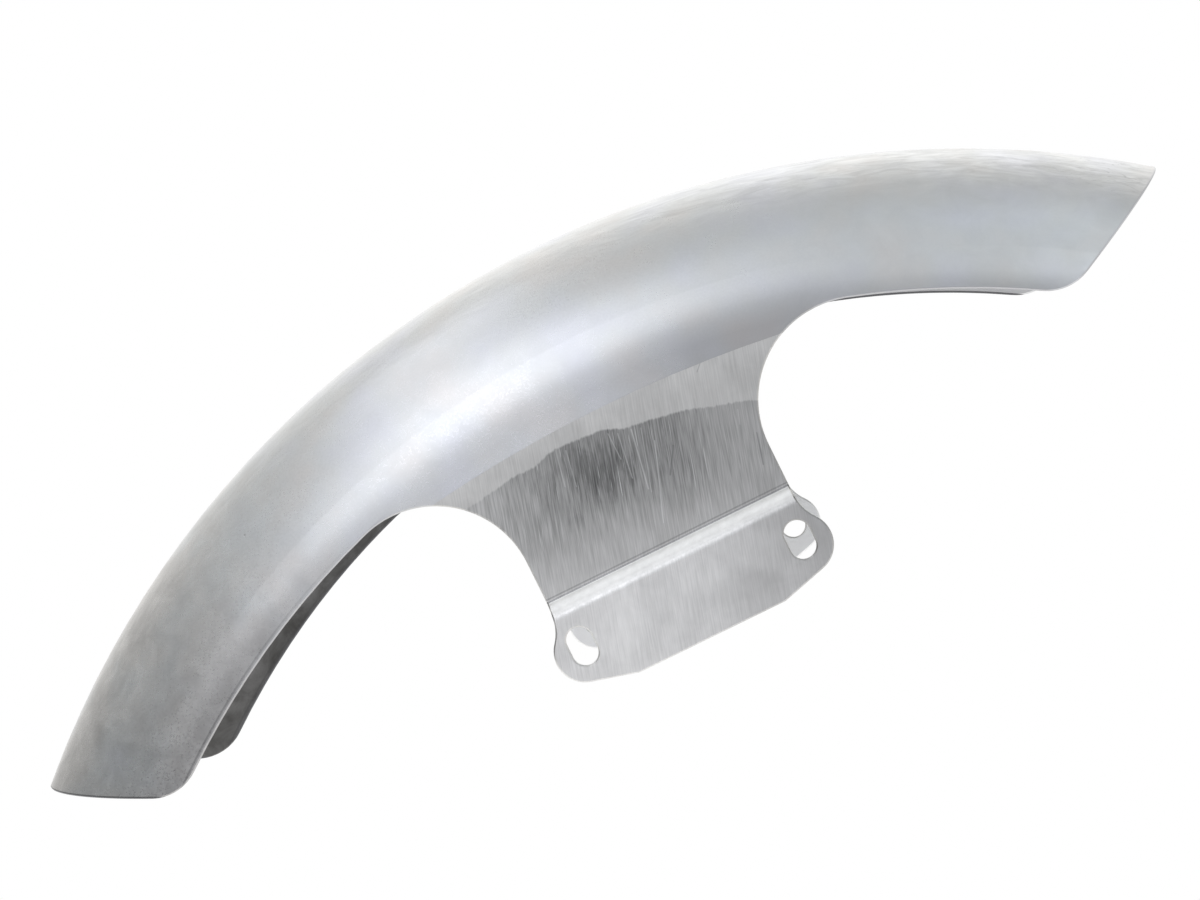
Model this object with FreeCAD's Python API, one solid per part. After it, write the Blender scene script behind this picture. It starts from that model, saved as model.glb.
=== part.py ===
import FreeCAD, Part
import math
import os

# Short front fender for a motorcycle: a pressed steel blade with a half-round section,
# and a joggled fork bracket butt-welded to each side of it.
#
# Everything is drawn in the wheel's own frame first: the axle is the origin, the bracket's
# middle line runs up from it, u is the distance ahead of that line, v the height along it
# and y the distance to the left. The finished pieces are then leaned back by the fork's
# rake and moved so that the middle of the four bolt slots is the origin.
# In the finished frame +X is forward, +Y is the rider's left and +Z is up. Millimetres.

# Pressed blade
CROWN_RADIUS = 360.0         # axle to the outside of the crown
BLADE_WIDTH = 112.0          # over the outer faces of the sides
BLADE_SHEET = 2.0            # sheet thickness
SIDE_DEPTH = 52.2            # crown to the free lower edge
REAR_REACH = 43.6            # degrees along the crown behind the bracket's middle line
FRONT_REACH = 37.6           # degrees along the crown ahead of it
REAR_RAKE = 23.0             # degrees that the rear end cut leans from the radius
FRONT_RAKE = 26.9            # degrees that the front end cut leans from the radius
CORNER_RADIUS = 18.0         # lower corners of the blade

# Weld seam between the blade's sides and the brackets
SEAM_TURN = 66.6             # degrees of the large arc from the neck up to the seam's end
SEAM_RADIUS = 500.0          # bow of the seam

# Fork brackets
BRACKET_PLATE = 2.5          # plate thickness
FORK_RAKE = 26.3             # degrees that the fork leans back from upright
STRIP_OFFSET = 6.0           # bolt strip's outer face outside the blade's side
SLOT_DROP = 136.0            # crown to the line through the slots
SLOT_SPACING = 85.3          # between the slots of one strip
SLOT_WIDTH = 9.4
SLOT_LENGTH = 14.2           # along the fork, for height adjustment
NECK_WIDTH = 95.2            # plate between its two large arcs
BLEND_RADIUS = 36.0          # large arcs from the neck to the blade's lower edge
EAR_RADIUS = 11.0            # rounded ends of the bolt strip
EAR_DROP = 2.0               # ear centre below the slot centre
FLARE_RADIUS = 16.0          # hollow curve from the neck out to the ear
STRIP_BELOW_SLOTS = 17.2     # slot row to the strip's bottom edge
BOTTOM_FLAT = 57.0           # level part of the bottom edge
CREASE_ABOVE_SLOTS = 18.4    # slot row to the joggle's upper crease
JOGGLE_DROP = 4.6            # height of the joggle
BEND_RADIUS = 1.5            # inside radius of both bends

# Finish
EDGE_BREAK = 0.5             # deburred edges of the blade, the plates and their slots

# Sizes that follow from the ones above
half_width = BLADE_WIDTH / 2
strip_out = half_width + STRIP_OFFSET
edge_radius = CROWN_RADIUS - SIDE_DEPTH
arch_radius = CROWN_RADIUS - half_width
slot_row = CROWN_RADIUS - SLOT_DROP
crease_v = slot_row + CREASE_ABOVE_SLOTS
bottom_v = slot_row - STRIP_BELOW_SLOTS
slot_u = SLOT_SPACING / 2
neck_u = NECK_WIDTH / 2
overrun = BLADE_WIDTH        # how far cutting shapes pass the metal
overrun_turn = 5.0           # degrees that the blade's ring passes each crown tip
break_share = 0.4            # most of a sheet's thickness that one broken edge takes
shoulder = 70.0              # degrees from the crown to where the section's side arcs begin
touching = 1e-6              # distances below this count as nothing

AXLE = FreeCAD.Vector(0, 0, 0)
LATERAL = FreeCAD.Vector(0, 1, 0)


def at(u, v):
    """A point of the side view, on the fender's mid-plane."""
    return FreeCAD.Vector(u, 0, v)


def on_circle(centre, radius, degrees):
    """The point of a circle at an angle from straight up, positive forward."""
    turn = math.radians(degrees)
    return centre + at(radius * math.sin(turn), radius * math.cos(turn))


def flipped(point):
    """The same point on the other side of the bracket's middle line."""
    return FreeCAD.Vector(-point.x, point.y, point.z)


def line(start, end):
    return Part.LineSegment(start, end).toShape()


def arc(start, end, centre, radius):
    """The short arc of a circle between two of its points."""
    towards = (start + end) * 0.5 - centre
    middle = centre + towards.normalize() * radius
    return Part.Arc(start, middle, end).toShape()


def side_prism(edges):
    """A solid that is the closed side-view outline all the way across the fender."""
    outline = Part.Wire(Part.__sortEdges__(edges))
    face = Part.Face(outline)
    face.translate(LATERAL * -overrun)
    return face.extrude(LATERAL * (2 * overrun))


# Large arc between the neck and the blade's lower edge. Its circle touches the neck's
# straight side and, from within, the circle of the lower edge.
blend_u = neck_u + BLEND_RADIUS
blend_centre = at(blend_u, math.sqrt((edge_radius - BLEND_RADIUS) ** 2 - blend_u ** 2))
blend_on_edge = blend_centre * (edge_radius / blend_centre.Length)
blend_on_neck = blend_centre - at(BLEND_RADIUS, 0)

# Seam: a shallow arc from one large arc to the other, highest on the middle line.
seam_end = on_circle(blend_centre, BLEND_RADIUS, SEAM_TURN - 90)
seam_centre = at(0, seam_end.z - math.sqrt(SEAM_RADIUS ** 2 - seam_end.x ** 2))


def end_cut(reach, rake):
    """One raked end of the blade, drawn ahead of the middle line.

    Gives the crown's tip, a point past it outside the metal, the ends of the rounded
    lower corner and that corner's centre.
    """
    tip = on_circle(AXLE, CROWN_RADIUS, reach)
    inward = on_circle(AXLE, 1.0, reach + rake) * -1
    into_blade = at(inward.z, -inward.x)
    # The corner's circle touches the cut and, from outside, the lower edge's circle.
    start = tip + into_blade * CORNER_RADIUS
    slope = start.dot(inward)
    gap = start.Length ** 2 - (edge_radius + CORNER_RADIUS) ** 2
    centre = start + inward * (-slope - math.sqrt(slope ** 2 - gap))
    on_cut = centre - into_blade * CORNER_RADIUS
    on_edge = centre * (edge_radius / centre.Length)
    past_tip = tip - inward * overrun
    return past_tip, on_cut, on_edge, centre


def blade_outline():
    """Side view of the blade, with the tabs that reach down to the seams."""
    edges = [arc(flipped(seam_end), seam_end, seam_centre, SEAM_RADIUS)]
    outer_points = []
    ends = ((FRONT_REACH, FRONT_RAKE, FreeCAD.Vector), (REAR_REACH, REAR_RAKE, flipped))
    for reach, rake, side in ends:
        past_tip, on_cut, on_edge, centre = end_cut(reach, rake)
        edges.append(arc(side(seam_end), side(blend_on_edge), side(blend_centre), BLEND_RADIUS))
        edges.append(arc(side(blend_on_edge), side(on_edge), AXLE, edge_radius))
        edges.append(arc(side(on_edge), side(on_cut), side(centre), CORNER_RADIUS))
        edges.append(line(side(on_cut), side(past_tip)))
        outer_points.append(side(past_tip))
    above = at(0, CROWN_RADIUS + 2 * overrun)
    edges.append(Part.Arc(outer_points[0], above, outer_points[1]).toShape())
    return edges


def half_round(radius):
    """A semicircle of the section in three arcs: the left side, the crown, the right side."""
    turns = [90, (90 + shoulder) / 2, shoulder, 0, -shoulder, -(90 + shoulder) / 2, -90]
    points = []
    for degrees in turns:
        turn = math.radians(degrees)
        rise = radius * math.cos(turn)
        points.append(FreeCAD.Vector(0, radius * math.sin(turn), arch_radius + rise))
    return [Part.Arc(*points[first:first + 3]).toShape() for first in (0, 2, 4)]


def blade_section():
    """The half-round sheet section with straight legs, as a face across the axle's plane."""
    inner = half_width - BLADE_SHEET
    edges = half_round(half_width) + half_round(inner)
    foot = at(0, -overrun)
    for side in (1, -1):
        outer_top = FreeCAD.Vector(0, side * half_width, arch_radius)
        inner_top = FreeCAD.Vector(0, side * inner, arch_radius)
        edges += [
            line(outer_top, outer_top + foot),
            line(outer_top + foot, inner_top + foot),
            line(inner_top + foot, inner_top),
        ]
    return Part.Face(Part.Wire(Part.__sortEdges__(edges)))


def make_blade():
    section = blade_section()
    start = REAR_REACH + overrun_turn
    section.rotate(AXLE, LATERAL, -start)
    ring = section.revolve(AXLE, LATERAL, start + FRONT_REACH + overrun_turn)
    trimmed = ring.common(side_prism(blade_outline()))
    return deburred(trimmed, BLADE_SHEET)


def deburred(sheet_piece, thickness):
    """The piece with the edges of its cut outline broken, apart from those of the seams.

    Cut faces run straight across the fender. Where two of them meet, their common edge
    only crosses the sheet and stays as it is.
    """
    rim = []
    for face in sheet_piece.Faces:
        if is_cut(face.Surface):
            rim += [edge for edge in face.Edges if not runs_across(edge.Curve)]
    return sheet_piece.makeChamfer(min(EDGE_BREAK, break_share * thickness), rim)


def is_cut(surface):
    """Whether a face was cut straight across the fender, anywhere but at the seam."""
    if isinstance(surface, Part.Cylinder):
        across_fender = abs(surface.Axis.y) > 1 - touching
        return across_fender and abs(surface.Radius - SEAM_RADIUS) > touching
    return isinstance(surface, Part.Plane) and abs(surface.Axis.y) < touching


def runs_across(curve):
    return isinstance(curve, Part.Line) and abs(curve.Direction.y) > 1 - touching


def bracket_outline():
    """Side view of a bracket: seam, large arcs, neck, flared ears and the bottom edge."""
    ear = at(slot_u, slot_row - EAR_DROP)
    # The hollow flare touches the neck's side and the ear's circle.
    flare_u = neck_u + FLARE_RADIUS
    reach = EAR_RADIUS + FLARE_RADIUS
    flare = at(flare_u, ear.z + math.sqrt(reach ** 2 - (flare_u - slot_u) ** 2))
    flare_on_neck = flare - at(FLARE_RADIUS, 0)
    flare_on_ear = ear + (flare - ear) * (EAR_RADIUS / reach)
    # The bottom edge turns up at the end of its level part, to touch the ear's circle.
    turn = at(BOTTOM_FLAT / 2, bottom_v)
    to_ear = ear - turn
    rise = math.atan2(to_ear.z, to_ear.x) - math.asin(EAR_RADIUS / to_ear.Length)
    ear_low = ear + at(math.sin(rise), -math.cos(rise)) * EAR_RADIUS
    ear_end = ear + at(EAR_RADIUS, 0)

    edges = [
        arc(flipped(seam_end), seam_end, seam_centre, SEAM_RADIUS),
        line(flipped(turn), turn),
    ]
    for side in (FreeCAD.Vector, flipped):
        edges += [
            arc(side(seam_end), side(blend_on_neck), side(blend_centre), BLEND_RADIUS),
            line(side(blend_on_neck), side(flare_on_neck)),
            arc(side(flare_on_neck), side(flare_on_ear), side(flare), FLARE_RADIUS),
            arc(side(flare_on_ear), side(ear_end), side(ear), EAR_RADIUS),
            arc(side(ear_end), side(ear_low), side(ear), EAR_RADIUS),
            line(side(ear_low), side(turn)),
        ]
    return edges


def slot_cutter(centre_u):
    """One obround bolt slot, long along the fork."""
    half = SLOT_WIDTH / 2
    run = (SLOT_LENGTH - SLOT_WIDTH) / 2
    middle = at(centre_u, slot_row)
    top = middle + at(0, run)
    low = middle - at(0, run)
    edges = [
        Part.Arc(top - at(half, 0), top + at(0, half), top + at(half, 0)).toShape(),
        line(top + at(half, 0), low + at(half, 0)),
        Part.Arc(low + at(half, 0), low - at(0, half), low - at(half, 0)).toShape(),
        line(low - at(half, 0), top - at(half, 0)),
    ]
    return side_prism(edges)


def joggled_sheet():
    """The right-hand plate before it is trimmed: flush with the blade above the joggle,
    further out below it, with both bends rounded."""
    lean = math.atan2(strip_out - half_width, JOGGLE_DROP)
    shift = BRACKET_PLATE * math.tan(lean / 2)
    crease = FreeCAD.Vector(0, -half_width, crease_v)
    knee = FreeCAD.Vector(0, -strip_out, crease_v - JOGGLE_DROP)
    inward = FreeCAD.Vector(0, BRACKET_PLATE, 0)
    lower = FreeCAD.Vector(0, 0, -shift)
    corners = [
        FreeCAD.Vector(0, -half_width, CROWN_RADIUS),
        crease,
        knee,
        FreeCAD.Vector(0, -strip_out, bottom_v - overrun),
        FreeCAD.Vector(0, -strip_out, bottom_v - overrun) + inward,
        knee + inward + lower,
        crease + inward + lower,
        FreeCAD.Vector(0, -half_width, CROWN_RADIUS) + inward,
    ]
    profile = Part.Face(Part.makePolygon(corners + corners[:1]))
    profile.translate(at(-overrun, 0))
    sheet = profile.extrude(at(2 * overrun, 0))
    outside_radius = BEND_RADIUS + BRACKET_PLATE
    radii = ((crease, BEND_RADIUS), (knee, outside_radius),
             (knee + inward + lower, BEND_RADIUS), (crease + inward + lower, outside_radius))
    for corner, radius in radii:
        edges = [e for e in sheet.Edges if is_bend(e, corner)]
        sheet = sheet.makeFillet(radius, edges)
    return sheet


def is_bend(edge, corner):
    """Whether an edge runs forward through the given corner of the sheet's profile."""
    middle = edge.CenterOfMass - corner
    return math.hypot(middle.y, middle.z) < touching


def make_bracket():
    """The right-hand bracket."""
    plate = joggled_sheet().common(side_prism(bracket_outline()))
    for centre_u in (-slot_u, slot_u):
        plate = plate.cut(slot_cutter(centre_u))
    return deburred(plate, BRACKET_PLATE)


def seated(solid):
    """The piece leaned back by the rake, with the middle of the slots at the origin."""
    placed = solid.copy()
    placed.translate(at(0, -slot_row))
    placed.rotate(AXLE, LATERAL, -FORK_RAKE)
    return placed


blade = make_blade()
right_bracket = make_bracket()
left_bracket = right_bracket.mirror(AXLE, LATERAL)

pieces = {
    "fender_blade": blade,
    "right_fork_bracket": right_bracket,
    "left_fork_bracket": left_bracket,
}

os.makedirs("parts", exist_ok=True)
for name, solid in pieces.items():
    shape = seated(solid)
    shape.exportStep("parts/" + name + ".step")
    box = shape.optimalBoundingBox(False, False)
    print(name, "solids", len(shape.Solids), "valid", shape.isValid(),
          "volume %.0f" % shape.Volume, "x %.1f..%.1f" % (box.XMin, box.XMax),
          "y %.1f..%.1f" % (box.YMin, box.YMax), "z %.1f..%.1f" % (box.ZMin, box.ZMax))
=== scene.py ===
import math

import bpy
from mathutils import Matrix, Vector

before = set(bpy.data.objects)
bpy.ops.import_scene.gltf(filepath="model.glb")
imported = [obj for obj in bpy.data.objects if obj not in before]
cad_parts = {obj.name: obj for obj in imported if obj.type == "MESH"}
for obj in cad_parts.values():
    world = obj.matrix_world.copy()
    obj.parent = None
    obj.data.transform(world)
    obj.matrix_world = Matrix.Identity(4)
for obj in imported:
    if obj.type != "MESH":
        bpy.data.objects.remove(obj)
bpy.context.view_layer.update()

# Short front fender for a motorcycle, in the order in which its three pieces are welded up:
# first the rolled blade, then the two fork brackets on its sides. The CAD solids have the
# true shape, so all three stay, and this file gives them their steel. +X is forward, +Y the
# rider's left and +Z up, in metres; the middle of the four bolt slots is the origin.


# Fender blade: 2 mm mild steel sheet, rolled and pressed to a half-round section. Outside it
# is blasted to an even satin grey; inside it keeps the dark skin of the rolling mill, and the
# rim that was cut and filed afterwards is bright.

AXLE = (0.09925, 0.0, -0.20081)      # the wheel's axle
ARCH_RADIUS = 0.304                  # axle to the middle of the half-round section
HALF_WIDTH = 0.056                   # outside radius of that section
SHEET = 0.002
EDGE_RADIUS = 0.3078                 # axle to the blade's free lower edge
FORK_RAKE = math.radians(26.3)       # the fork, and the brackets with it, lean back by this
REAR_TIP = (-0.2388, -0.0771)        # x and z of the crown where the rear end is cut
REAR_INWARD = (-0.0506, 0.9987)      # square to that cut, into the blade
FRONT_TIP = (0.1698, 0.1522)         # the same for the front end
FRONT_INWARD = (-0.7859, 0.6184)
FILED_WIDTH = 0.0009                 # bright rim left by the file along the cut edges
FILED_SOFT = 0.0004                  # over which that rim ends
BURR_LINE = 0.0014                   # lower edge to the line where its burr was folded over
BURR_HALF = 0.00035                  # half that line's width
BLAST_GLOSS = 0.30                   # roughness of the blasted outside


def steel_colour(hex_colour):
    """The linear colour of an sRGB hex value."""
    channels = [int(hex_colour[i:i + 2], 16) / 255 for i in (1, 3, 5)]
    linear = [c / 12.92 if c <= 0.04045 else ((c + 0.055) / 1.055) ** 2.4 for c in channels]
    return (*linear, 1.0)


def add(tree, kind, sockets=(), out=None, **settings):
    """Adds a shader node with its settings; its sockets take values or other nodes' outputs.

    Gives the output that is asked for by name, or else the first live one.
    """
    node = tree.nodes.new("ShaderNode" + kind)
    for name, value in settings.items():
        setattr(node, name, value)
    for key, value in dict(sockets).items():
        live = [s for s in node.inputs if s.enabled and s.name == key]
        socket = live[0] if live else node.inputs[key]
        if isinstance(value, bpy.types.NodeSocket):
            tree.links.new(value, socket)
        else:
            socket.default_value = value
    if out:
        return node.outputs[out]
    return next((s for s in node.outputs if s.enabled), None)


blasted = bpy.data.materials.new("blasted_mild_steel")
blasted.use_nodes = True
tree = blasted.node_tree
tree.nodes.clear()
place = add(tree, "TexCoord", out="Object")

# Where a point is on the sheet: its radius and turn about the axle, and how far it is from
# the middle line of the half-round tube, which is 56 mm outside and 54 mm inside.
from_axle = add(tree, "VectorMath", {0: place, 1: AXLE}, operation="SUBTRACT")
in_side_view = add(tree, "VectorMath", {0: from_axle, 1: (1, 0, 1)}, operation="MULTIPLY")
radius = add(tree, "VectorMath", {0: in_side_view}, operation="LENGTH")
parts = add(tree, "SeparateXYZ", {"Vector": from_axle}).node.outputs
turn = add(tree, "Math", {0: parts["X"], 1: parts["Z"]}, operation="ARCTAN2")
above_legs = add(tree, "Math", {0: radius, 1: ARCH_RADIUS}, operation="SUBTRACT")
above_legs = add(tree, "Math", {0: above_legs, 1: 0.0}, operation="MAXIMUM")
tube_point = add(tree, "CombineXYZ", {"X": above_legs, "Y": parts["Y"]})
tube_radius = add(tree, "VectorMath", {0: tube_point}, operation="LENGTH")
inside = add(tree, "MapRange", {"Value": tube_radius, "From Min": HALF_WIDTH - 0.6 * SHEET,
                                "From Max": HALF_WIDTH - 0.9 * SHEET})

# Blast pattern: 0.8 mm grit marks, drawn coarser than the real 0.3 mm so that they show, and
# fainter toward the front. Under them lie 12 mm and 40 mm clouds, 2% strong in the middle and
# up to 21% at the rear end, where the gun turned. A noise mostly stays between 0.3 and 0.7, so
# each one is mapped from about there to its swing.
grit = add(tree, "TexNoise", {"Vector": place, "Scale": 1 / 0.0008, "Detail": 2.0,
                              "Roughness": 0.6})
small_clouds = add(tree, "TexNoise", {"Vector": place, "Scale": 1 / 0.012, "Detail": 3.0,
                                      "Roughness": 0.6, "Distortion": 0.6})
clouds = add(tree, "TexNoise", {"Vector": place, "Scale": 1 / 0.040, "Detail": 4.0,
                                "Roughness": 0.62, "Distortion": 0.4})
to_rear = add(tree, "MapRange", {"Value": turn, "From Min": math.radians(-44),
                                 "From Max": math.radians(-62)})
to_front = add(tree, "MapRange", {"Value": turn, "From Min": math.radians(-16),
                                  "From Max": math.radians(0), "To Min": 0.0, "To Max": 0.22})
at_ends = add(tree, "Math", {0: to_rear, 1: to_front}, operation="ADD")
cloud_sum = add(tree, "Math", {0: clouds, 1: small_clouds}, operation="ADD")
cloud_swing = add(tree, "MapRange", {"Value": cloud_sum, "From Min": 0.7, "From Max": 1.3,
                                     "To Min": -1.0, "To Max": 1.0})
cloud_depth = add(tree, "Math", {0: at_ends, 1: 0.19, 2: 0.02}, operation="MULTIPLY_ADD")
cloud_light = add(tree, "Math", {0: cloud_swing, 1: cloud_depth, 2: 1.0},
                  operation="MULTIPLY_ADD")
grit_swing = add(tree, "MapRange", {"Value": grit, "From Min": 0.34, "From Max": 0.66,
                                    "To Min": -1.0, "To Max": 1.0})
grit_depth = add(tree, "MapRange", {"Value": turn, "From Min": math.radians(-6),
                                    "From Max": math.radians(-28), "To Min": 0.008,
                                    "To Max": 0.033})
grit_light = add(tree, "Math", {0: grit_swing, 1: grit_depth, 2: 1.0},
                 operation="MULTIPLY_ADD")
light = add(tree, "Math", {0: cloud_light, 1: grit_light}, operation="MULTIPLY")

# Flow marks of the forming rolls: 6 mm ripples, three times as long along the blade, only by
# the crown and most of all toward the front. They are laid out in the sheet's flat lengths.
across = add(tree, "Math", {0: parts["Y"], 1: above_legs}, operation="ARCTAN2")
sheet_run = add(tree, "Math", {0: turn, 1: ARCH_RADIUS / 3}, operation="MULTIPLY")
sheet_across = add(tree, "Math", {0: across, 1: HALF_WIDTH}, operation="MULTIPLY")
on_sheet = add(tree, "CombineXYZ", {"X": sheet_run, "Y": sheet_across})
flow = add(tree, "TexNoise", {"Vector": on_sheet, "Scale": 1 / 0.006, "Detail": 5.0,
                              "Roughness": 0.65, "Distortion": 1.5})
off_crown = add(tree, "Math", {0: across}, operation="ABSOLUTE")
near_crown = add(tree, "MapRange", {"Value": off_crown, "From Min": math.radians(50),
                                    "From Max": math.radians(26)},
                 interpolation_type="SMOOTHSTEP")
forward = add(tree, "MapRange", {"Value": turn, "From Min": math.radians(-35),
                                 "From Max": math.radians(0), "To Min": 0.35, "To Max": 1.0})
flow_depth = add(tree, "Math", {0: near_crown, 1: forward}, operation="MULTIPLY")
flow_swing = add(tree, "MapRange", {"Value": flow, "From Min": 0.3, "From Max": 0.7,
                                    "To Min": -0.23, "To Max": 0.15})
flow_light = add(tree, "Math", {0: flow_swing, 1: flow_depth, 2: 1.0},
                 operation="MULTIPLY_ADD")
light = add(tree, "Math", {0: light, 1: flow_light}, operation="MULTIPLY")

# Painted shade: the sheet is painted darker in the 10 mm beside the seam toward the front, and
# along the lower edge, before the bracket and most of all at the rear end.
beside_seam = add(tree, "MapRange", {"Value": radius, "From Min": ARCH_RADIUS + 0.010,
                                     "From Max": ARCH_RADIUS})
seam_shade_front = add(tree, "MapRange", {"Value": turn, "From Min": math.radians(-31),
                                "From Max": math.radians(-19), "To Min": 0.0, "To Max": -0.20})
painted_seam_shade = add(tree, "Math", {0: beside_seam, 1: seam_shade_front, 2: 1.0}, operation="MULTIPLY_ADD")
light = add(tree, "Math", {0: light, 1: painted_seam_shade}, operation="MULTIPLY")
low_down = add(tree, "MapRange", {"Value": radius, "From Min": EDGE_RADIUS + 0.013,
                                  "From Max": EDGE_RADIUS + 0.004},
               interpolation_type="SMOOTHSTEP")
behind = add(tree, "MapRange", {"Value": turn, "From Min": math.radians(-40),
                                "From Max": math.radians(-58), "To Min": 0.0, "To Max": -0.27})
off_front = add(tree, "Math", {0: turn, 1: math.radians(15)}, operation="ADD")
off_front = add(tree, "Math", {0: off_front}, operation="ABSOLUTE")
before = add(tree, "MapRange", {"Value": off_front, "From Min": math.radians(10),
                                "From Max": math.radians(4), "To Min": 0.0, "To Max": -0.14})
lower_edge_shade = add(tree, "Math", {0: behind, 1: before}, operation="ADD")
painted_lower_shade = add(tree, "Math", {0: low_down, 1: lower_edge_shade, 2: 1.0}, operation="MULTIPLY_ADD")
light = add(tree, "Math", {0: light, 1: painted_lower_shade}, operation="MULTIPLY")

# Bare steel is neutral, with faint warm and bluish clouds of 26 mm, the warm ones at the rear.
tint_place = add(tree, "TexNoise", {"Vector": place, "Scale": 1 / 0.026, "Detail": 2.0})
tint_place = add(tree, "Math", {0: to_rear, 1: -0.20, 2: tint_place}, operation="MULTIPLY_ADD")
tint = add(tree, "ValToRGB", {"Fac": tint_place})
stops = tint.node.color_ramp.elements
stops[0].position, stops[0].color = 0.30, steel_colour("#dcdad8")
stops[1].position, stops[1].color = 0.70, steel_colour("#dadbdf")
middle_stop = stops.new(0.5)
middle_stop.color = steel_colour("#dadbdb")
tone = add(tree, "VectorMath", {0: tint, 1: light}, operation="MULTIPLY")

# Pits: dark specks of up to 1.2 mm, in a third of the cells of 16 mm.
cells = add(tree, "TexVoronoi", {"Vector": place, "Scale": 1 / 0.016})
cell_draw = add(tree, "SeparateColor", {"Color": cells.node.outputs["Color"]})
pit_reach = add(tree, "MapRange", {"Value": cell_draw, "From Min": 0.68, "From Max": 1.0,
                                   "To Min": 0.0, "To Max": 0.040})
pit = add(tree, "Math", {0: pit_reach, 1: cells.node.outputs["Distance"]},
          operation="SUBTRACT")
pit = add(tree, "MapRange", {"Value": pit, "From Min": 0.0, "From Max": 0.02,
                             "To Min": 0.0, "To Max": 0.35})
tone = add(tree, "Mix", {"Factor": pit, "A": tone, "B": steel_colour("#6d6a66")},
           data_type="RGBA")

# Scuffs by the front end: hair-thin curved scratches where the part was stood on its tip.
scuff_path = add(tree, "TexNoise", {"Vector": on_sheet, "Scale": 1 / 0.009, "Detail": 3.0,
                                    "Distortion": 1.2})
scuff = add(tree, "Math", {0: scuff_path, 1: 0.5, 2: 0.007}, operation="COMPARE")
at_tip = add(tree, "MapRange", {"Value": turn, "From Min": math.radians(3),
                                "From Max": math.radians(8), "To Min": 0.0, "To Max": 0.35})
scuff = add(tree, "Math", {0: scuff, 1: at_tip}, operation="MULTIPLY")
scuff = add(tree, "Math", {0: scuff, 1: near_crown}, operation="MULTIPLY")
tone = add(tree, "Mix", {"Factor": scuff, "A": tone, "B": steel_colour("#8a8a8c")},
           data_type="RGBA")

# Mill skin inside: dark oxide, blotched by rolling oil. Painted light: the last 3 mm inside
# before the lower edge are painted nearly white toward the front, for light caught from below.
oil = add(tree, "TexNoise", {"Vector": place, "Scale": 1 / 0.016, "Detail": 5.0,
                             "Roughness": 0.65, "Distortion": 0.8})
skin = add(tree, "ValToRGB", {"Fac": oil})
stops = skin.node.color_ramp.elements
stops[0].position, stops[0].color = 0.32, steel_colour("#5f5e5c")
stops[1].position, stops[1].color = 0.68, steel_colour("#8a8988")
painted_light_inner_edge = add(tree, "MapRange", {"Value": radius, "From Min": EDGE_RADIUS + 0.0035,
                               "From Max": EDGE_RADIUS + 0.0025})
front_half = add(tree, "MapRange", {"Value": turn, "From Min": math.radians(-30),
                                    "From Max": math.radians(-18)})
painted_light_inner_edge = add(tree, "Math", {0: painted_light_inner_edge, 1: front_half}, operation="MULTIPLY")
skin = add(tree, "Mix", {"Factor": painted_light_inner_edge, "A": skin, "B": steel_colour("#ececec")},
           data_type="RGBA")
tone = add(tree, "Mix", {"Factor": inside, "A": tone, "B": skin}, data_type="RGBA")

# Cut edges: past the brackets the lower edge was filed bright outside, and so was the front
# end. Toward the rear the file took less off and left the burr's dark line. Inside, and all
# round the rear end, the dark sheared cut still shows.
outer_side = add(tree, "MapRange", {"Value": tube_radius, "From Min": HALF_WIDTH - 0.5 * SHEET,
                                    "From Max": HALF_WIDTH - 0.3 * SHEET})
filed = add(tree, "MapRange", {"Value": radius, "From Min": EDGE_RADIUS + FILED_WIDTH,
                               "From Max": EDGE_RADIUS + FILED_WIDTH - FILED_SOFT})
front_plane = (FRONT_INWARD[0], 0.0, FRONT_INWARD[1])
front_start = FRONT_TIP[0] * FRONT_INWARD[0] + FRONT_TIP[1] * FRONT_INWARD[1]
front_depth = add(tree, "VectorMath", {0: place, 1: front_plane}, operation="DOT_PRODUCT")
off_bracket = add(tree, "Math", {0: turn, 1: FORK_RAKE}, operation="ADD")
off_bracket = add(tree, "Math", {0: off_bracket}, operation="ABSOLUTE")
past_bracket = add(tree, "MapRange", {"Value": off_bracket, "From Min": math.radians(15.5),
                                      "From Max": math.radians(17)})
filed = add(tree, "Math", {0: filed, 1: past_bracket}, operation="MULTIPLY")
filed_front = add(tree, "MapRange", {"Value": front_depth,
                                     "From Min": front_start + FILED_WIDTH,
                                     "From Max": front_start + FILED_WIDTH - FILED_SOFT})
filed = add(tree, "Math", {0: filed, 1: filed_front}, operation="MAXIMUM")
filed = add(tree, "Math", {0: filed, 1: outer_side}, operation="MULTIPLY")
duller = add(tree, "Math", {0: to_rear, 1: -0.70, 2: 1.0}, operation="MULTIPLY_ADD")
filed = add(tree, "Math", {0: filed, 1: duller}, operation="MULTIPLY")
burr = add(tree, "Math", {0: radius, 1: EDGE_RADIUS + BURR_LINE, 2: BURR_HALF},
           operation="COMPARE")
burr_depth = add(tree, "Math", {0: to_rear, 1: 0.42}, operation="MULTIPLY")
burr = add(tree, "Math", {0: burr, 1: burr_depth}, operation="MULTIPLY")
tone = add(tree, "Mix", {"Factor": burr, "A": tone, "B": steel_colour("#5c5c5e")},
           data_type="RGBA")
tone = add(tree, "Mix", {"Factor": filed, "A": tone, "B": steel_colour("#cacacc")},
           data_type="RGBA")
rear_plane = (REAR_INWARD[0], 0.0, REAR_INWARD[1])
rear_start = REAR_TIP[0] * REAR_INWARD[0] + REAR_TIP[1] * REAR_INWARD[1]
rear_depth = add(tree, "VectorMath", {0: place, 1: rear_plane}, operation="DOT_PRODUCT")
sheared = add(tree, "MapRange", {"Value": rear_depth, "From Min": rear_start + FILED_WIDTH,
                                 "From Max": rear_start + 0.0006})
cut_inside = add(tree, "MapRange", {"Value": radius, "From Min": EDGE_RADIUS + 0.0008,
                                    "From Max": EDGE_RADIUS + 0.0006})
cut_inside = add(tree, "Math", {0: cut_inside, 1: past_bracket}, operation="MULTIPLY")
cut_inside = add(tree, "Math", {0: cut_inside, 1: outer_side}, operation="SUBTRACT",
                 use_clamp=True)
sheared = add(tree, "Math", {0: sheared, 1: cut_inside}, operation="MAXIMUM")
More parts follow.
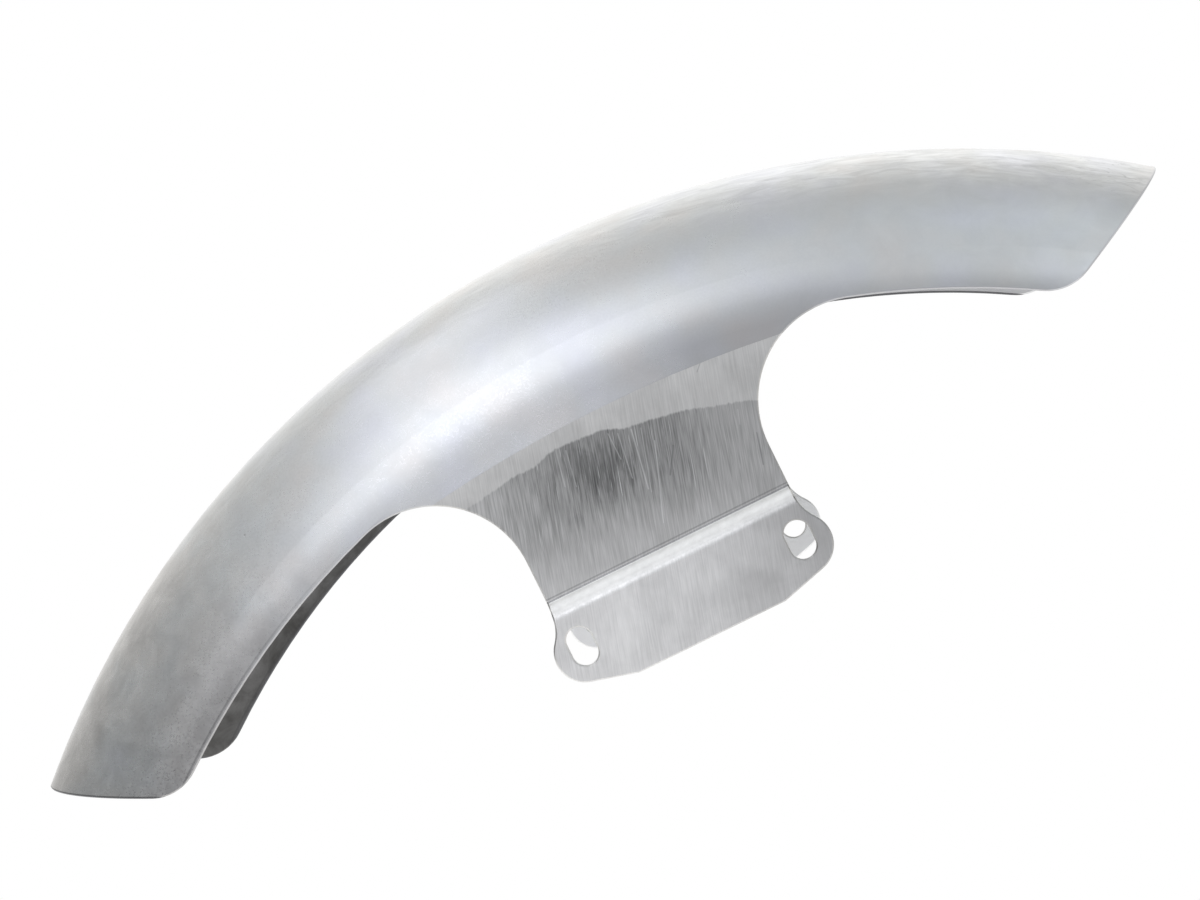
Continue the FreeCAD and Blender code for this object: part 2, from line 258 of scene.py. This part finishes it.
tone = add(tree, "Mix", {"Factor": sheared, "A": tone, "B": steel_colour("#6b6b6d")},
           data_type="RGBA")

# The mill skin is duller than the blasted side, and the grit's relief is only 0.03 mm deep.
gloss = add(tree, "Math", {0: grit_swing, 1: grit_depth, 2: BLAST_GLOSS},
            operation="MULTIPLY_ADD")
gloss = add(tree, "Math", {0: inside, 1: 0.16, 2: gloss}, operation="MULTIPLY_ADD")
gloss = add(tree, "Math", {0: cloud_swing, 1: -0.015, 2: gloss}, operation="MULTIPLY_ADD")
relief = add(tree, "Bump", {"Height": grit, "Strength": 0.03, "Distance": 0.00003})
relief = add(tree, "Bump", {"Height": flow_light, "Strength": 0.25, "Distance": 0.0006,
                            "Normal": relief})
relief = add(tree, "Bump", {"Height": pit, "Strength": 0.6, "Distance": 0.0002,
                            "Normal": relief}, invert=True)
steel = add(tree, "BsdfPrincipled", {"Base Color": tone, "Metallic": 1.0, "Roughness": gloss,
                                     "Normal": relief})
add(tree, "OutputMaterial", {"Surface": steel})
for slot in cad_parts["fender_blade"].material_slots:
    slot.material = blasted


# Fork brackets: 2.5 mm steel plate, cut and folded, then butt-welded to the blade. The weld is
# dressed flush, which leaves a smooth pale band along the seam; below it the plate keeps dark
# mill marks and the scratches of a coarse belt, and the bolt strip is linished clean.

SLOT_ROW = 0.224                     # axle to the bolt slots, along the fork
CREASE = 0.2424                      # axle to the joggle's upper crease, along the fork
KNEE = 0.2378                        # and to its lower bend
SEAM_V, SEAM_BOW = 0.2965, 0.5       # axle to the seam along the fork, and its radius
BELT_LEAN = math.radians(10.0)       # the belt marks lean back by this
PLATE_OUT = 0.056                    # outer face of the upper plate
BAND_EDGE = 0.2849                   # v where the dressed band ends, at u = 0 and before waves
BAND_SLOPE, BAND_BOW = -0.115, -2.5  # its slope over u, and its bow over u squared
DARK_PATCH = (-0.009, 0, 0.276)      # u, 0 and v of the darkest mill marks
DARK_SPOT = (0.021, 0, 0.214)           # and of a darker spot by the strip's lower edge
# The dark colour serves the dark scratches and the painted shade in the crease.
PALE_MARK, DARK_MARK_AND_CREASE_SHADE = "#f0f0ef", "#5c5c5e"
# Scratches from one (u, v) to another, half their width, how strong, and the colour.
SCRATCHES = (((6.4, 284.7), (2.6, 263.3), 0.25, 0.36, PALE_MARK),
             ((-1.6, 287.0), (-1.5, 277.0), 0.20, 0.28, PALE_MARK),
             ((-17.6, 288.2), (-19.9, 275.2), 0.22, 0.26, PALE_MARK),
             ((-20.9, 289.9), (-23.5, 277.0), 0.22, 0.26, PALE_MARK),
             ((1.5, 285.5), (-0.8, 269.2), 0.22, 0.28, PALE_MARK),
             ((9.7, 283.7), (3.1, 261.9), 0.20, 0.28, PALE_MARK),
             ((12.1, 277.5), (2.1, 250.2), 0.20, 0.36, PALE_MARK),
             ((43.2, 274.5), (41.6, 269.5), 0.18, 0.24, PALE_MARK),
             ((17.3, 273.1), (11.7, 264.3), 0.25, 0.40, DARK_MARK_AND_CREASE_SHADE),
             ((45.6, 264.2), (42.7, 253.2), 0.25, 0.35, DARK_MARK_AND_CREASE_SHADE),
             ((41.5, 297.9), (36.2, 292.7), 0.20, 0.30, DARK_MARK_AND_CREASE_SHADE))

plate = bpy.data.materials.new("belt_ground_steel_plate")
plate.use_nodes = True
tree = plate.node_tree
tree.nodes.clear()
place = add(tree, "TexCoord", out="Object")

# Frames on the plate: u ahead of the bracket's middle line with v up the fork from the axle,
# and two along the belt marks, which stretch a streak to 24 and to 6 times its width.
square_on = add(tree, "Mapping", {"Vector": place, "Rotation": (0, FORK_RAKE, 0),
                                  "Location": (0, 0, SLOT_ROW)})
parts = add(tree, "SeparateXYZ", {"Vector": square_on}).node.outputs
u, v = parts["X"], parts["Z"]
along_belt = add(tree, "Mapping", {"Vector": place, "Rotation": (0, -BELT_LEAN, 0),
                                   "Scale": (1, 1, 24)}, vector_type="TEXTURE")
short_marks = add(tree, "Mapping", {"Vector": place, "Rotation": (0, -BELT_LEAN, 0),
                                    "Scale": (1, 1, 6)}, vector_type="TEXTURE")

# Belt marks: fine lines of 0.5 mm, drawn coarser than the real 0.2 mm, and columns of 2.8 mm
# where the belt pressed harder, with 9 mm blotches and 0.7 mm grain in the dirt that is left.
fine = add(tree, "TexNoise", {"Vector": along_belt, "Scale": 1 / 0.0005, "Detail": 1.0,
                              "Roughness": 0.5})
columns = add(tree, "TexNoise", {"Vector": short_marks, "Scale": 1 / 0.0028, "Detail": 3.0,
                                 "Roughness": 0.6})
blotch = add(tree, "TexNoise", {"Vector": place, "Scale": 1 / 0.009, "Detail": 4.0,
                                "Roughness": 0.62, "Distortion": 0.5})
grain = add(tree, "TexNoise", {"Vector": along_belt, "Scale": 1 / 0.0007, "Detail": 2.0,
                               "Roughness": 0.7})

# Edge of the dressed band: a shallow bow with 1 mm waves and the ragged ends of the belt
# marks, 2 mm higher left of the middle, where the flap wheel was lifted.
across_plate = add(tree, "CombineXYZ", {"X": u})
waves = add(tree, "TexNoise", {"Vector": across_plate, "Scale": 1 / 0.016, "Detail": 1.0})
ragged = add(tree, "TexNoise", {"Vector": along_belt, "Scale": 1 / 0.0014, "Detail": 2.0})
bow = add(tree, "Math", {0: u, 1: u}, operation="MULTIPLY")
edge_v = add(tree, "Math", {0: u, 1: BAND_SLOPE, 2: BAND_EDGE}, operation="MULTIPLY_ADD")
edge_v = add(tree, "Math", {0: bow, 1: BAND_BOW, 2: edge_v}, operation="MULTIPLY_ADD")
edge_v = add(tree, "Math", {0: waves, 1: 0.0024, 2: edge_v}, operation="MULTIPLY_ADD")
edge_v = add(tree, "Math", {0: ragged, 1: 0.0018, 2: edge_v}, operation="MULTIPLY_ADD")
to_rise = add(tree, "Math", {0: u, 1: 0.013}, operation="ADD")
to_rise = add(tree, "Math", {0: to_rise}, operation="ABSOLUTE")
rise = add(tree, "MapRange", {"Value": to_rise, "From Min": 0.018, "From Max": 0.009,
                              "To Min": 0.0, "To Max": 0.0020}, interpolation_type="SMOOTHSTEP")
edge_v = add(tree, "Math", {0: edge_v, 1: rise}, operation="ADD")
depth = add(tree, "Math", {0: edge_v, 1: v}, operation="SUBTRACT")
below_band = add(tree, "MapRange", {"Value": depth, "From Min": -0.0002, "From Max": 0.0005})

# Dark mill marks, on the outside only: two thirds strong below the band, nearly gone at the
# crease, half as strong at the neck's sides, and darkest in one patch left of the middle.
fade = add(tree, "MapRange", {"Value": depth, "From Min": 0.047, "From Max": 0.016,
                              "To Min": 0.10, "To Max": 0.66},
           interpolation_type="SMOOTHSTEP")
to_side = add(tree, "Math", {0: u, 1: 0.008}, operation="ADD")
to_side = add(tree, "Math", {0: to_side}, operation="ABSOLUTE")
to_side = add(tree, "MapRange", {"Value": to_side, "From Min": 0.016, "From Max": 0.055,
                                 "To Min": 1.0, "To Max": 0.48},
              interpolation_type="SMOOTHSTEP")
dark = add(tree, "Math", {0: fade, 1: to_side}, operation="MULTIPLY")
on_plate = add(tree, "CombineXYZ", {"X": u, "Z": v})
to_patch = add(tree, "VectorMath", {0: on_plate, 1: DARK_PATCH}, operation="DISTANCE")
patch = add(tree, "MapRange", {"Value": to_patch, "From Min": 0.018, "From Max": 0.003,
                               "To Min": 0.0, "To Max": 0.30}, interpolation_type="SMOOTHSTEP")
dark = add(tree, "Math", {0: dark, 1: patch}, operation="ADD")
for pattern, least, most in ((columns, 0.84, 1.14), (blotch, 0.84, 1.16), (grain, 0.84, 1.18)):
    swing = add(tree, "MapRange", {"Value": pattern, "From Min": 0.32, "From Max": 0.68,
                                   "To Min": least, "To Max": most})
    dark = add(tree, "Math", {0: dark, 1: swing}, operation="MULTIPLY")
side_off = add(tree, "Math", {0: parts["Y"]}, operation="ABSOLUTE")
outer_face = add(tree, "MapRange", {"Value": side_off, "From Min": PLATE_OUT - 0.0012,
                                    "From Max": PLATE_OUT - 0.0006})
above_crease = add(tree, "MapRange", {"Value": v, "From Min": CREASE, "From Max": CREASE + 0.001})
for mask in (below_band, outer_face, above_crease):
    dark = add(tree, "Math", {0: dark, 1: mask}, operation="MULTIPLY", use_clamp=True)

# Clean steel: the band is even and dull from the flap wheel, a little paler by the seam. Painted
# light: the plate below it is painted lighter toward the rear, and the linished strip lightest
# behind its middle, for how the studio light falls on it. Over both lie 0.5 mm lines, 9 mm
# blotches and 24 mm patches.
painted_rearward_light = add(tree, "Math", {0: u, 1: -2.4, 2: 1.0}, operation="MULTIPLY_ADD")
plate_with_painted_light = add(tree, "VectorMath", {0: steel_colour("#d2d1cf")[:3], "Scale": painted_rearward_light},
           operation="SCALE")
painted_strip_light = add(tree, "Math", {0: u, 1: -4.2, 2: 1.07}, operation="MULTIPLY_ADD")
painted_strip_light = add(tree, "Math", {0: bow, 1: -55.0, 2: painted_strip_light},
                    operation="MULTIPLY_ADD")
linished = add(tree, "VectorMath", {0: steel_colour("#e0dfdd")[:3], "Scale": painted_strip_light},
               operation="SCALE")
clean = add(tree, "Mix", {"Factor": above_crease, "A": linished, "B": plate_with_painted_light}, data_type="RGBA")
to_seam = add(tree, "VectorMath", {0: on_plate, 1: (0, 0, SEAM_V - SEAM_BOW)},
              operation="DISTANCE")
by_seam = add(tree, "MapRange", {"Value": to_seam, "From Min": SEAM_BOW - 0.007,
                                 "From Max": SEAM_BOW - 0.001})
band = add(tree, "Mix", {"Factor": by_seam, "A": steel_colour("#d2d1ce"),
                         "B": steel_colour("#dad9d6")}, data_type="RGBA")
clean = add(tree, "Mix", {"Factor": below_band, "A": band, "B": clean}, data_type="RGBA")
tone = add(tree, "Mix", {"Factor": dark, "A": clean, "B": steel_colour("#7f7f7e")},
           data_type="RGBA")
fine_depth = add(tree, "Math", {0: dark, 1: 0.30, 2: 0.07}, operation="MULTIPLY_ADD")
fine_swing = add(tree, "MapRange", {"Value": fine, "From Min": 0.3, "From Max": 0.7,
                                    "To Min": -1.0, "To Max": 1.0})
fine_light = add(tree, "Math", {0: fine_swing, 1: fine_depth, 2: 1.0},
                 operation="MULTIPLY_ADD")
blotch_light = add(tree, "MapRange", {"Value": blotch, "From Min": 0.35, "From Max": 0.65,
                                      "To Min": 0.955, "To Max": 1.035})
light = add(tree, "Math", {0: fine_light, 1: blotch_light}, operation="MULTIPLY")
patches = add(tree, "TexNoise", {"Vector": place, "Scale": 1 / 0.024, "Detail": 2.0,
                                 "Distortion": 0.6})
patch_light = add(tree, "MapRange", {"Value": patches, "From Min": 0.35, "From Max": 0.65,
                                     "To Min": 0.95, "To Max": 1.05})
light = add(tree, "Math", {0: light, 1: patch_light}, operation="MULTIPLY")
# Darker around one spot by the strip's lower edge.
to_dark_spot = add(tree, "VectorMath", {0: on_plate, 1: DARK_SPOT}, operation="DISTANCE")
dark_spot_light = add(tree, "MapRange", {"Value": to_dark_spot, "From Min": 0.017, "From Max": 0.005,
                                      "To Min": 1.0, "To Max": 0.88},
                   interpolation_type="SMOOTHSTEP")
light = add(tree, "Math", {0: light, 1: dark_spot_light}, operation="MULTIPLY")
tone = add(tree, "VectorMath", {0: tone, 1: light}, operation="MULTIPLY")

# Handling scratches: sparse bright hairs across the mill marks, and single ones on the
# right-hand plate, each from one (u, v) to another in mm, bright if its colour is pale.
hairs = add(tree, "TexNoise", {"Vector": along_belt, "Scale": 1 / 0.0007, "Detail": 1.0})
scratch = add(tree, "MapRange", {"Value": hairs, "From Min": 0.66, "From Max": 0.72,
                                 "To Min": 0.0, "To Max": 0.7})
scratch = add(tree, "Math", {0: scratch, 1: dark}, operation="MULTIPLY")
tone = add(tree, "Mix", {"Factor": scratch, "A": tone, "B": steel_colour(PALE_MARK)},
           data_type="RGBA")
right_side = add(tree, "Math", {0: parts["Y"], 1: 0.0}, operation="LESS_THAN")
for start, end, half_width, strength, mark_hex in SCRATCHES:
    start, end = Vector((start[0], 0, start[1])) / 1000, Vector((end[0], 0, end[1])) / 1000
    run = end - start
    from_start = add(tree, "VectorMath", {0: on_plate, 1: start}, operation="SUBTRACT")
    part_way = add(tree, "VectorMath", {0: from_start, 1: run / run.length_squared},
                   operation="DOT_PRODUCT")
    part_way = add(tree, "Math", {0: part_way, 1: right_side}, operation="MULTIPLY",
                   use_clamp=True)
    nearest = add(tree, "VectorMath", {0: run, "Scale": part_way}, operation="SCALE")
    gap = add(tree, "VectorMath", {0: from_start, 1: nearest}, operation="DISTANCE")
    line = add(tree, "MapRange", {"Value": gap, "From Min": 1.5 * half_width / 1000,
                                  "From Max": 0.4 * half_width / 1000, "To Min": 0.0,
                                  "To Max": strength}, interpolation_type="SMOOTHSTEP")
    tone = add(tree, "Mix", {"Factor": line, "A": tone, "B": steel_colour(mark_hex)},
               data_type="RGBA")

# Painted light: the strip's inner face is painted nearly white, for the light that bounces
# between the two brackets.
painted_light_strip_inside = add(tree, "MapRange", {"Value": side_off, "From Min": PLATE_OUT + 0.0048,
                                      "From Max": PLATE_OUT + 0.0038})
below_joggle = add(tree, "MapRange", {"Value": v, "From Min": KNEE, "From Max": KNEE - 0.002})
painted_light_strip_inside = add(tree, "Math", {0: painted_light_strip_inside, 1: below_joggle}, operation="MULTIPLY")
tone = add(tree, "Mix", {"Factor": painted_light_strip_inside, "A": tone, "B": steel_colour("#fbfbfa")},
           data_type="RGBA")

# Painted shade: two dark lines a millimetre apart just above the crease, for the shade in its
# hollow.
line_one = add(tree, "Math", {0: v, 1: CREASE + 0.0003, 2: 0.00030}, operation="COMPARE")
line_two = add(tree, "Math", {0: v, 1: CREASE + 0.0014, 2: 0.00025}, operation="COMPARE")
painted_crease_shade = add(tree, "Math", {0: line_one, 1: 0.60}, operation="MULTIPLY")
painted_crease_shade = add(tree, "Math", {0: line_two, 1: 0.35, 2: painted_crease_shade}, operation="MULTIPLY_ADD")
tone = add(tree, "Mix", {"Factor": painted_crease_shade, "A": tone, "B": steel_colour(DARK_MARK_AND_CREASE_SHADE)},
           data_type="RGBA")

# Painted highlight: the joggle's face is painted nearly white for the light it catches facing
# up, and the die left it slightly hollow.
on_face = add(tree, "MapRange", {"Value": v, "From Min": CREASE + 0.0001,
                                 "From Max": CREASE - 0.0003})
below_face = add(tree, "MapRange", {"Value": v, "From Min": KNEE - 0.0018,
                                    "From Max": KNEE + 0.0022},
                 interpolation_type="SMOOTHSTEP")
painted_joggle_highlight = add(tree, "Math", {0: on_face, 1: below_face}, operation="MULTIPLY")
joggle_highlight_swing = add(tree, "MapRange", {"Value": columns, "From Min": 0.32, "From Max": 0.68,
                                   "To Min": 0.92, "To Max": 1.04})
joggle_highlight_steel = add(tree, "VectorMath", {0: steel_colour("#f5f4f1")[:3], "Scale": joggle_highlight_swing},
                operation="SCALE")
tone = add(tree, "Mix", {"Factor": painted_joggle_highlight, "A": tone, "B": joggle_highlight_steel}, data_type="RGBA")
hollow = add(tree, "MapRange", {"Value": v, "From Min": KNEE + 0.0002,
                                "From Max": CREASE - 0.0002, "To Min": 0.0,
                                "To Max": 0.40 * (CREASE - KNEE - 0.0004)},
             interpolation_type="SMOOTHSTEP")

# The belt's lines glint and the mill marks between them are duller.
gloss = add(tree, "MapRange", {"Value": fine, "From Min": 0.3, "From Max": 0.7,
                               "To Min": 0.43, "To Max": 0.36})
gloss = add(tree, "Math", {0: dark, 1: 0.08, 2: gloss}, operation="MULTIPLY_ADD")
relief = add(tree, "Bump", {"Height": hollow, "Strength": 1.0, "Distance": 1.0})
relief = add(tree, "Bump", {"Height": fine, "Strength": 0.4, "Distance": 0.00003,
                            "Normal": relief})
relief = add(tree, "Bump", {"Height": scratch, "Strength": 0.5, "Distance": 0.00005,
                            "Normal": relief}, invert=True)
steel = add(tree, "BsdfPrincipled", {"Base Color": tone, "Metallic": 1.0, "Roughness": gloss,
                                     "Normal": relief})
add(tree, "OutputMaterial", {"Surface": steel})
for side in ("right_fork_bracket", "left_fork_bracket"):
    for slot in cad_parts[side].material_slots:
        slot.material = plate


# Studio: a white sweep behind the part and a white paper floor well below it. In the steel
# they show with the softboxes around a dark camera: one long strip light at the upper left and
# two round ones on each side. Everything matt is lit evenly.

studio = bpy.data.worlds.new("studio")
bpy.context.scene.world = studio
studio.use_nodes = True
tree = studio.node_tree
tree.nodes.clear()
way = add(tree, "TexCoord", out="Generated")

# Each round glow is its colour times e to the power of tightness times (cosine of the angle
# from its middle less one).
SOFTBOXES = (((0.446, -0.815, 0.371), 27.5, (1.553, 1.621, 1.663)),     # right of the camera
             ((0.354, -0.464, 0.812), 7.4, (0.573, 0.619, 0.661)),      # high on the right
             ((-0.325, -0.880, 0.347), 39.8, (1.096, 1.120, 1.179)),    # left of the camera
             ((-0.416, -0.681, 0.603), 23.1, (0.640, 0.652, 0.688)),    # high on the left
             ((-0.669, -0.248, 0.701), 3.95, (0.487, 0.502, 0.514)),    # ceiling, to the rear
             ((-0.16, -0.98, -0.10), 50.0, (0.51, 0.52, 0.54)),         # table in front
             ((0.98, 0.05, -0.05), 6.0, (0.90, 0.90, 0.90)),            # wall on the right
             ((-0.20, 0.98, -0.05), 30.0, (0.52, 0.52, 0.52)),          # foot of the sweep
             ((0.004, 0.881, 0.472), 2.76, (1.248, 1.244, 1.228)))      # the sweep itself
DARK_ROOM = 0.01
glow = add(tree, "CombineXYZ", {"X": DARK_ROOM, "Y": DARK_ROOM, "Z": DARK_ROOM})
for middle, tightness, colour in SOFTBOXES:
    aim = add(tree, "VectorMath", {0: way, 1: Vector(middle).normalized()},
              operation="DOT_PRODUCT")
    fall = add(tree, "Math", {0: aim, 1: tightness, 2: -tightness}, operation="MULTIPLY_ADD")
    fall = add(tree, "Math", {0: fall}, operation="EXPONENT")
    tinted = add(tree, "VectorMath", {0: colour, "Scale": fall}, operation="SCALE")
    glow = add(tree, "VectorMath", {0: glow, 1: tinted}, operation="ADD")
# The strip is 11 degrees wide and fades out about 72 degrees each way from its middle.
STRIP_TIGHTNESS = 100.2
STRIP_COLOUR = (0.815, 0.824, 0.904)
strip_side = Vector((0.775, -0.042, 0.631)).normalized()
strip_middle = Vector((-0.424, -0.774, 0.470)).normalized()
off_line = add(tree, "VectorMath", {0: way, 1: strip_side}, operation="DOT_PRODUCT")
off_line = add(tree, "Math", {0: off_line, 1: off_line}, operation="MULTIPLY")
off_line = add(tree, "Math", {0: off_line, 1: -STRIP_TIGHTNESS}, operation="MULTIPLY")
strip = add(tree, "Math", {0: off_line}, operation="EXPONENT")
run = add(tree, "VectorMath", {0: way, 1: strip_middle}, operation="DOT_PRODUCT")
run = add(tree, "MapRange", {"Value": run, "From Min": 0.09, "From Max": 0.54},
          interpolation_type="SMOOTHSTEP")
strip = add(tree, "Math", {0: strip, 1: run}, operation="MULTIPLY")
strip = add(tree, "VectorMath", {0: STRIP_COLOUR, "Scale": strip}, operation="SCALE")
glow = add(tree, "VectorMath", {0: glow, 1: strip}, operation="ADD")

# Mirrored rays see the glows, matt surfaces an even white, and the camera a white background.
rays = add(tree, "LightPath").node.outputs
mirrored = add(tree, "Math", {0: rays["Is Glossy Ray"], 1: rays["Is Transmission Ray"]},
               operation="MAXIMUM")
even_light = add(tree, "Background", {"Color": (1, 1, 1, 1), "Strength": 0.9})
softboxes = add(tree, "Background", {"Color": glow, "Strength": 1.0})
white = add(tree, "Background", {"Color": (1, 1, 1, 1), "Strength": 1.0})
lit = add(tree, "MixShader", {0: mirrored, 1: even_light, 2: softboxes})
lit = add(tree, "MixShader", {0: rays["Is Camera Ray"], 1: lit, 2: white})
add(tree, "OutputWorld", {"Surface": lit})

# The paper is pale; a little of its own white makes it up to the background's white wherever
# it is seen or mirrored, and the part's soft shadow stays on it.
FLOOR_HEIGHT = -0.35
FLOOR_REACH = 1.1
PAPER_GLOW = 0.2
bpy.ops.mesh.primitive_circle_add(vertices=64, radius=FLOOR_REACH, fill_type="NGON",
                                  location=(0, 0, FLOOR_HEIGHT))
floor = bpy.context.object
floor.name = "studio_floor"
paper = bpy.data.materials.new("studio_paper")
paper.use_nodes = True
tree = paper.node_tree
tree.nodes.clear()
rays = add(tree, "LightPath").node.outputs
seen = add(tree, "Math", {0: rays["Is Camera Ray"], 1: rays["Is Glossy Ray"]},
           operation="ADD")
seen = add(tree, "Math", {0: seen, 1: rays["Is Transmission Ray"]}, operation="ADD")
top_up = add(tree, "Math", {0: seen, 1: PAPER_GLOW}, operation="MULTIPLY")
matt = add(tree, "BsdfDiffuse", {"Color": steel_colour("#f2f2f2")})
own = add(tree, "Emission", {"Color": (1, 1, 1, 1), "Strength": top_up})
both = add(tree, "AddShader", {0: matt, 1: own})
add(tree, "OutputMaterial", {"Surface": both})
floor.data.materials.append(paper)

# The photo's camera, as it was worked out from the part's outline: where it stands, in metres,
# and which way its picture's width and height run.
CAMERA_PLACE = (0.00437, -1.16656, 0.09025)
VIEW_ACROSS = Vector((0.99946, 0.0329, 0))
VIEW_UP = Vector((-0.00119, 0.03614, 0.99935))
camera = bpy.data.objects.new("photo_camera", bpy.data.cameras.new("photo_camera"))
bpy.context.scene.collection.objects.link(camera)
camera.data.lens = 94.5
camera.data.sensor_width = 36.0
turned = Matrix((VIEW_ACROSS, VIEW_UP, VIEW_ACROSS.cross(VIEW_UP))).transposed()
camera.matrix_world = Matrix.Translation(CAMERA_PLACE) @ turned.to_4x4()
bpy.context.scene.camera = camera
bpy.context.scene.view_settings.view_transform = "Standard"
